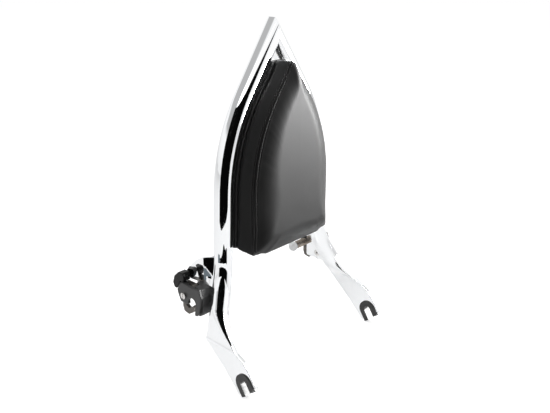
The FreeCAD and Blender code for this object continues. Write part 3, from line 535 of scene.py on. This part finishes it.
def outline_at(y, count):
    """Points round the pad's side at one distance from the board, evenly spaced, and the way round."""
    found = []
    hub = Vector((0.0, y, centre_z))
    for i in range(OUTLINE_FAN):
        angle = 2.0 * math.pi * i / OUTLINE_FAN
        out = Vector((math.sin(angle), 0.0, math.cos(angle)))
        found.append(cast(hub + out * OUTSIDE, -out))
    found.append(found[0])
    lengths = lengths_along(found)
    wanted = np.linspace(0.0, lengths[-1], count + 1)[:-1]
    return [Vector(p) for p in zip(*at_lengths(found, lengths, wanted))], lengths[-1]


side, around = outline_at(pad_high.y - SIDE_DEPTH, ROUND)
print("the pad is", round(around / MM), "mm round")

# %% [markdown]
# A section through the pad is traced from the middle of its back, round its side, to the middle of its front.
# Flat parts are traced with parallel rays, and the rounded side with a fan of rays from a pivot inside the foam.

# %% Sections through the pad
PIVOT_IN = 14.0 * MM
PIVOT_DEPTH = 16.0 * MM
BACK_IN = 16.0 * MM
BACK_SHARES = (0.0, 0.35, 0.7, 0.9)
FAN_STEPS = 36
FAN_REACH = 0.3
FRONT_STEPS = 24


def section(target):
    """The foam's outline in the plane through the pad's axis and one point of its side, from back to front."""
    out = Vector((target.x, 0.0, target.z - centre_z))
    reach = out.length
    out.normalize()
    hub = Vector((0.0, 0.0, centre_z))
    pivot = hub + out * (reach - PIVOT_IN) + Vector((0.0, pad_high.y - PIVOT_DEPTH, 0.0))
    path = [hub + out * (reach - BACK_IN) * share + Vector((0.0, pad_high.y, 0.0)) for share in BACK_SHARES]
    for i in range(FAN_STEPS + 1):
        angle = math.radians(90.0 - 180.0 * i / FAN_STEPS)
        ray = out * math.cos(angle) + Vector((0.0, math.sin(angle), 0.0))
        path.append(cast(pivot + ray * FAN_REACH, -ray))
    for share in np.linspace(0.985, 0.0, FRONT_STEPS):
        start = hub + out * (reach - PIVOT_IN) * float(share) + Vector((0.0, -OUTSIDE, 0.0))
        path.append(cast(start, Vector((0.0, 1.0, 0.0))))
    return path


def seam_length(path, lengths):
    """How far along a section its side passes the seam."""
    for k in range(len(BACK_SHARES) + 2, len(path)):
        if path[k].y < seam_y:
            share = (path[k - 1].y - seam_y) / (path[k - 1].y - path[k].y)
            return lengths[k - 1] + share * (lengths[k] - lengths[k - 1])
    raise ValueError("this section doesn't pass the seam")


# %% [markdown]
# GROOVE says where the rings near the seam lie, in millimetres to each side of it, and HEIGHTS how far each one is
# then raised or sunk: the seam in the middle is sunk, with a fold beside it and a sunk stitch row on each side. The
# front is crowned: it rises fast over the shoulder and then slowly to the middle.

# %% The cover's rings
GROOVE = [-5.0, -4.2, -3.5, -3.1, -2.8, -2.5, -2.1, -1.6, -1.1, -0.8, -0.5, -0.25, 0.0,
          0.25, 0.5, 0.8, 1.1, 1.6, 2.1, 2.5, 2.8, 3.1, 3.5, 4.2, 5.0]
HEIGHTS = [0.0, 0.15, 0.20, -0.10, -0.55, -0.20, 0.25, 0.40, 0.35, 0.20, -0.05, -0.30, -0.40,
           -0.30, -0.05, 0.20, 0.35, 0.40, 0.25, -0.20, -0.55, -0.10, 0.20, 0.15, 0.0]
GROOVE_END = GROOVE[-1] * MM
SHOULDER = 36.0 * MM
SHOULDER_SHARE = 0.92
SIDE_BAND = 40.0 * MM
DENSE_FRONT = 45.0 * MM
WIDE_FRONT = 60.0 * MM
BACK_SPLIT = 0.55
rows = []
for target in side:
    path = section(target)
    lengths = lengths_along(path)
    seam = seam_length(path, lengths)
    reach = lengths[-1] - seam
    split = BACK_SPLIT * (seam - SIDE_BAND)
    back_part = np.concatenate([np.linspace(0.0, BACK_SPLIT, 7)[:-1] * (seam - SIDE_BAND),
                                np.linspace(split, seam - GROOVE_END, 22)[:-1]])
    near_seam = [seam + g * MM for g in GROOVE]
    dense_end = seam + DENSE_FRONT if reach > WIDE_FRONT else seam + 0.7 * reach
    front_part = np.linspace(seam + GROOVE_END, dense_end, 26)[1:]
    rest_part = np.linspace(front_part[-1], lengths[-1], 26)[1:]
    wanted = np.concatenate([back_part, near_seam, front_part, rest_part])
    laid = np.stack(at_lengths(path, lengths, wanted), 1)
    past_seam = wanted - seam
    front = past_seam > 0.0
    shoulder = np.clip(past_seam[front] / min(SHOULDER, 0.85 * reach), 0.0, 1.0)
    crown = SHOULDER_SHARE * (1.0 - (1.0 - shoulder) ** 2)
    crown += (1.0 - SHOULDER_SHARE) * (1.0 - (1.0 - past_seam[front] / reach) ** 2)
    laid[front, 1] = seam_y - (seam_y - path[-1].y) * crown
    rows.append(laid)
grid = np.array(rows)
print("cover grid", grid.shape)

# %% [markdown]
# The rings become one closed mesh: four-sided faces between them, and a fan at the middle of the back and of the
# front. It is smoothed a little before the seam's rings are moved, so that the seam stays crisp.

# %% Build the cover
count, rings = grid.shape[0], grid.shape[1]
first = len(back_part)
verts = [tuple(p) for p in grid[:, 1:-1].reshape(-1, 3)]
inner = rings - 2
back_pole, front_pole = len(verts), len(verts) + 1
verts += [tuple(grid[:, 0].mean(0)), tuple(grid[:, -1].mean(0))]
faces = []
for i in range(count):
    n = (i + 1) % count
    for j in range(inner - 1):
        faces.append((i * inner + j, i * inner + j + 1, n * inner + j + 1, n * inner + j))
    faces.append((back_pole, i * inner, n * inner))
    faces.append((front_pole, n * inner + inner - 1, i * inner + inner - 1))
cushion = piece_from("cushion", verts, faces)
face_outwards(cushion)
bpy.ops.object.shade_smooth()
apply_modifier(cushion, "SMOOTH", factor=0.5, iterations=2)
normal = normals_of(cushion)
shift = np.zeros(len(verts))


def ring_points(offset):
    """Which of the cushion's points lie on one ring of the seam, in the order of GROOVE."""
    return np.arange(count) * inner + first + offset - 1


for offset, height in enumerate(HEIGHTS):
    shift[ring_points(offset)] = height * MM
set_points(cushion, points_of(cushion) + normal * shift[:, None])
dress(cushion, "pad_vinyl")
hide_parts("pad_cushion")
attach(cushion, "upright")
bpy.data.objects.remove(foam)
print("cushion", len(cushion.data.polygons), "faces")

# %% [markdown]
# Where the cover folds round the board's back edge it is finished with a thin black welt. It closes the narrow
# gap that would show between the pad and the near tube. It is a closed line on the board's rim, made round.

# %% Welt round the back edge
WELT_R = 1.5 * MM
WELT_IN = 0.15 * WELT_R
RIM_DEPTH = 0.5 * MM
board = nodes["pad_base_board"]
board_back = points_of(board)[:, 1].max()
tree_of_board = searchable(board)
bpy.ops.curve.primitive_bezier_circle_add(radius=1.0)
rim_line = bpy.context.object
rim_line.name = "welt"
rim_line.data.splines.clear()
line = rim_line.data.splines.new("POLY")
line.points.add(len(side) - 1)
line.use_cyclic_u = True
hub = Vector((0.0, board_back - RIM_DEPTH, centre_z))
for point, target in zip(line.points, side):
    out = Vector((target.x, 0.0, target.z - centre_z)).normalized()
    rim = tree_of_board.ray_cast(hub + out * OUTSIDE, -out)[0]
    point.co = (rim.x, board_back - WELT_IN, rim.z, 1.0)
rim_line.data.bevel_depth = WELT_R
rim_line.data.bevel_resolution = 2
pick(rim_line)
bpy.ops.object.convert(target="MESH")
welt = bpy.context.object
bpy.ops.object.shade_smooth()
dress(welt, "pad_vinyl")
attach(welt, "upright")
print("welt", len(welt.data.polygons), "faces")

# %% [markdown]
# The pad's two rows of topstitching hold the seam flat, one row on the side band and one on the front panel.
# A stitch is a short rounded bead that dips at both ends. One is modelled and copied along both rows.

# %% Topstitching
STITCH = 3.6 * MM
THREAD_R = 0.42 * MM
STITCH_ENDS = (0.12, 0.5, 0.88)
OVERLAP = 1.15
ROWS = {"stitches_side": GROOVE.index(-2.8), "stitches_front": GROOVE.index(2.8)}
points, normal = points_of(cushion), normals_of(cushion)
bpy.ops.mesh.primitive_uv_sphere_add(segments=6, ring_count=5, radius=1.0)
bead = bpy.context.object
bead_points = points_of(bead)
bead_faces = [tuple(f.vertices) for f in bead.data.polygons]
bpy.data.objects.remove(bead)
for name, offset in ROWS.items():
    ids = ring_points(offset)
    line = points[ids]
    out = normal[ids]
    steps = np.linalg.norm(np.roll(line, -1, 0) - line, axis=1)
    lengths = np.concatenate([[0.0], np.cumsum(steps)])
    stitches = round(lengths[-1] / STITCH)
    closed = np.vstack([line, line[:1]])
    closed_out = np.vstack([out, out[:1]])
    made_points, made_faces = [], []
    for s in range(stitches):
        ends = [lengths[-1] * (s + t) / stitches for t in STITCH_ENDS]
        low, mid, high = [Vector([np.interp(e, lengths, closed[:, k]) for k in range(3)]) for e in ends]
        up = Vector([np.interp(ends[1], lengths, closed_out[:, k]) for k in range(3)]).normalized()
        along = high - low
        half = along.length / 2.0
        along.normalize()
        up = (up - along * up.dot(along)).normalized()
        turn = Matrix((along, up.cross(along), up)).transposed()
        base = len(made_points)
        for x, y, z in bead_points:
            arch = THREAD_R * (0.5 - 1.1 * x * x)
            local = Vector((x * half * OVERLAP, y * THREAD_R, z * THREAD_R + arch))
            made_points.append(tuple(mid + turn @ local))
        made_faces += [tuple(base + v for v in f) for f in bead_faces]
    row = piece_from(name, made_points, made_faces)
    pick(row)
    bpy.ops.object.shade_smooth()
    dress(row, "black_thread")
    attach(row, "upright")
    print(name, stitches, "stitches")

# %% [markdown]
# Each release shaft is pushed inwards by a coil spring between the latch and its knob. When the knob is pulled
# the spring is squeezed, so it is a piece of its own. It is wound with the Screw modifier from one small ring,
# whose ends are then closed.

# %% Release springs
SPRING_R = 5.0 * MM
WIRE_R = 0.8 * MM
TURNS = 7
WIRE_SIDES = 10
STEPS_ROUND = 28
for hand, sign in SIDES.items():
    low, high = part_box(f"release_spring_{hand}")
    shaft_low, shaft_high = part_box(f"release_shaft_{hand}")
    axis_y, axis_z = (shaft_low.y + shaft_high.y) / 2.0, (shaft_low.z + shaft_high.z) / 2.0
    room = high.x - low.x - 2.0 * WIRE_R
    deselect()
    bpy.ops.mesh.primitive_circle_add(vertices=WIRE_SIDES, radius=WIRE_R, location=(0.0, 0.0, 0.0))
    spring = bpy.context.object
    spring.name = f"coil_spring_{hand}"
    set_points(spring, points_of(spring) + np.array([0.0, SPRING_R, 0.0]))
    apply_modifier(spring, "SCREW", axis="X", angle=2.0 * math.pi, screw_offset=room / TURNS, iterations=TURNS,
                   steps=STEPS_ROUND, render_steps=STEPS_ROUND, use_merge_vertices=True, use_normal_calculate=True)
    bpy.ops.object.mode_set(mode="EDIT")
    bpy.ops.mesh.select_all(action="SELECT")
    bpy.ops.mesh.fill_holes(sides=0)
    face_outwards(spring)
    bpy.ops.object.shade_smooth_by_angle(angle=math.radians(40.0))
    set_points(spring, points_of(spring) + np.array([low.x + WIRE_R, axis_y, axis_z]))
    dress(spring, "spring_steel")
    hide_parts(f"release_spring_{hand}")
    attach(spring, "upright")
    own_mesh(spring)
    print(spring.name, [round(v / MM, 1) for v in Vector(points_of(spring).max(0) - points_of(spring).min(0))])

# %% [markdown]
# The studio is a white sweep. To the camera the floor and the world are white, and the floor keeps the soft
# shadow. Mirrored, the floor is a little less bright than it is to the camera.

# %% Floor
FLOOR_GAP = 1.0 * MM
FLOOR_SIZE = 12.0
FLOOR_TONE = 0.80
FLOOR_LIFT = 0.60
MIRROR_LIFT = 0.32
floor_z = cad_low.z - FLOOR_GAP
deselect()
bpy.ops.mesh.primitive_plane_add(size=FLOOR_SIZE, location=(0.0, 0.0, floor_z))
floor = bpy.context.object
floor.name = "floor"
tree, shader = finish_named("white_floor", Base_Color=grey(FLOOR_TONE), Roughness=0.9, Specular_IOR_Level=0.0)
path = node(tree, "ShaderNodeLightPath")
seen = math_node(tree, "MAXIMUM", path.outputs["Is Camera Ray"], path.outputs["Is Transmission Ray"])
lift = math_node(tree, "MULTIPLY_ADD", path.outputs["Is Glossy Ray"], MIRROR_LIFT,
                 math_node(tree, "MULTIPLY", seen, FLOOR_LIFT))
glow = node(tree, "ShaderNodeEmission", {"Color": grey(1.0), "Strength": lift})
both = node(tree, "ShaderNodeAddShader", {0: shader.outputs[0], 1: glow.outputs[0]})
tree.links.new(both.outputs[0], tree.nodes["Material Output"].inputs["Surface"])
dress(floor, "white_floor")

# %% [markdown]
# Chrome only looks like chrome when it mirrors something darker than itself. So, as in a real studio, dark cards
# stand round the near leg and lie on the floor in front of it, outside the picture. Only reflections see them. They
# are bent round the leg's foot, so the angle of a card's edge sets how far across the tube its reflection lies.

# %% Cards for the reflections
LEG_FOOT = Vector((-90.0, 76.0, 0.0)) * MM
CARD_STEPS = 24
CARD_TONES = {"dark_card": grey(0.002), "grey_card": (0.15, 0.18, 0.20, 1.0)}
for name, tone in CARD_TONES.items():
    tree, shader = finish_named(name, Base_Color=grey(0.0), Roughness=1.0, Specular_IOR_Level=0.0,
                                Emission_Color=tone, Emission_Strength=1.0)


def card(name, tone, edges):
    """A bent card round the near leg. Each edge is (reach, height, left angle, right angle) from the camera."""
    corners, quads = [], []
    for row, (reach, height, left, right) in enumerate(edges):
        for k in range(CARD_STEPS + 1):
            turn = math.radians(CAMERA_AZIMUTH + left + (right - left) * k / CARD_STEPS)
            away = LEG_FOOT + Vector((math.sin(turn), -math.cos(turn), 0.0)) * reach * MM
            corners.append((away.x, away.y, height * MM))
            if row and k:
                here = row * (CARD_STEPS + 1) + k
                quads.append((here - 1, here, here - CARD_STEPS - 1, here - CARD_STEPS - 2))
    made = piece_from(name, corners, quads)
    dress(made, tone)
    for ray in ("camera", "diffuse", "shadow", "transmission"):
        setattr(made, f"visible_{ray}", False)


ON_FLOOR = floor_z / MM + 0.5
# Each edge: reach and height in millimetres, then its two ends in degrees from the camera's azimuth.
CARDS = {
    "card_high": ("dark_card", [(254.0, 118.0, 2.0, 14.0), (254.0, 150.0, -22.0, 40.0), (254.0, 200.0, -38.0, 52.0),
                                (254.0, 540.0, -44.0, 66.0)]),
    "card_far": ("dark_card", [(600.0, ON_FLOOR, -10.0, 25.0), (600.0, 0.0, -40.0, 55.0), (600.0, 150.0, -40.0, 55.0)]),
    "card_low": ("dark_card", [(260.0, ON_FLOOR, -34.0, 50.0), (440.0, ON_FLOOR, -34.0, 46.0),
                               (492.0, ON_FLOOR, 4.0, 12.0)]),
    "card_side": ("grey_card", [(260.0, ON_FLOOR, -62.0, -34.5), (460.0, ON_FLOOR, -55.0, -34.5)]),
}
for name, (tone, edges) in CARDS.items():
    card(name, tone, edges)

# %% [markdown]
# The world is white to the camera and light grey as a source of light. Only its mirror image has a shape: it is
# darker near the horizon, and darker again high up behind the object, as a room is above and behind a sweep.

# %% World
world = bpy.data.worlds.new("studio")
bpy.context.scene.world = world
world.use_nodes = True
tree = world.node_tree
path = node(tree, "ShaderNodeLightPath")
lit = tree.nodes["Background"]
lit.inputs["Color"].default_value = grey(0.9)
lit.inputs["Strength"].default_value = 0.55
white = node(tree, "ShaderNodeBackground", {"Color": grey(1.0), "Strength": 1.0})
direction = node(tree, "ShaderNodeTexCoord").outputs["Generated"]
across = node(tree, "ShaderNodeSeparateXYZ", {0: direction})
rise = ranged(tree, across.outputs["Z"], 0.0, 0.2, 0.9, 1.0)
behind = ranged(tree, across.outputs["Y"], -0.2, 0.0, 0.0, 0.5)
above = ranged(tree, across.outputs["Z"], 0.32, 0.40, 0.0, 1.0)
shade = math_node(tree, "SUBTRACT", rise, math_node(tree, "MULTIPLY", behind, above))
tent = node(tree, "ShaderNodeBackground", {"Color": mixed(tree, shade, grey(0.0), grey(1.05)), "Strength": 1.0})
seen = math_node(tree, "MAXIMUM", path.outputs["Is Camera Ray"], path.outputs["Is Transmission Ray"])
mirror = node(tree, "ShaderNodeMixShader", {0: path.outputs["Is Glossy Ray"], 1: lit.outputs[0], 2: tent.outputs[0]})
shown = node(tree, "ShaderNodeMixShader", {0: seen, 1: mirror.outputs[0], 2: white.outputs[0]})
tree.links.new(shown.outputs[0], tree.nodes["World Output"].inputs["Surface"])

# %% [markdown]
# The light itself is plain and soft. A wide lamp hangs above, and a weak one fills the near side. The third stands low
# in front on the left side of the bike, where the pad's front catches it as a broad sheen.

# %% Lamps
OBJECT_MIDDLE = Vector((0.0, 0.05, 0.2))
SHEEN_HEIGHT = 0.9


def lamp(name, azimuth, elevation, distance, size, power):
    """A square soft lamp that looks at the middle of the object, from this direction and distance (m)."""
    back = looking_back(azimuth, elevation)
    deselect()
    bpy.ops.object.light_add(type="AREA", location=OBJECT_MIDDLE + back * distance)
    made = bpy.context.object
    made.name = name
    made.data.size = size
    made.data.energy = power
    made.rotation_mode = "QUATERNION"
    made.rotation_quaternion = back.to_track_quat("Z", "Y")
    return made


lamp("top", 20.0, 80.0, 1.8, 1.4, 16.0)
lamp("fill", -60.0, 35.0, 2.2, 1.2, 6.0)
sheen = lamp("sheen", 48.0, 14.5, 1.3, 1.2, 132.0)
sheen.data.shape = "RECTANGLE"
sheen.data.size_y = SHEEN_HEIGHT
sheen.visible_diffuse = False
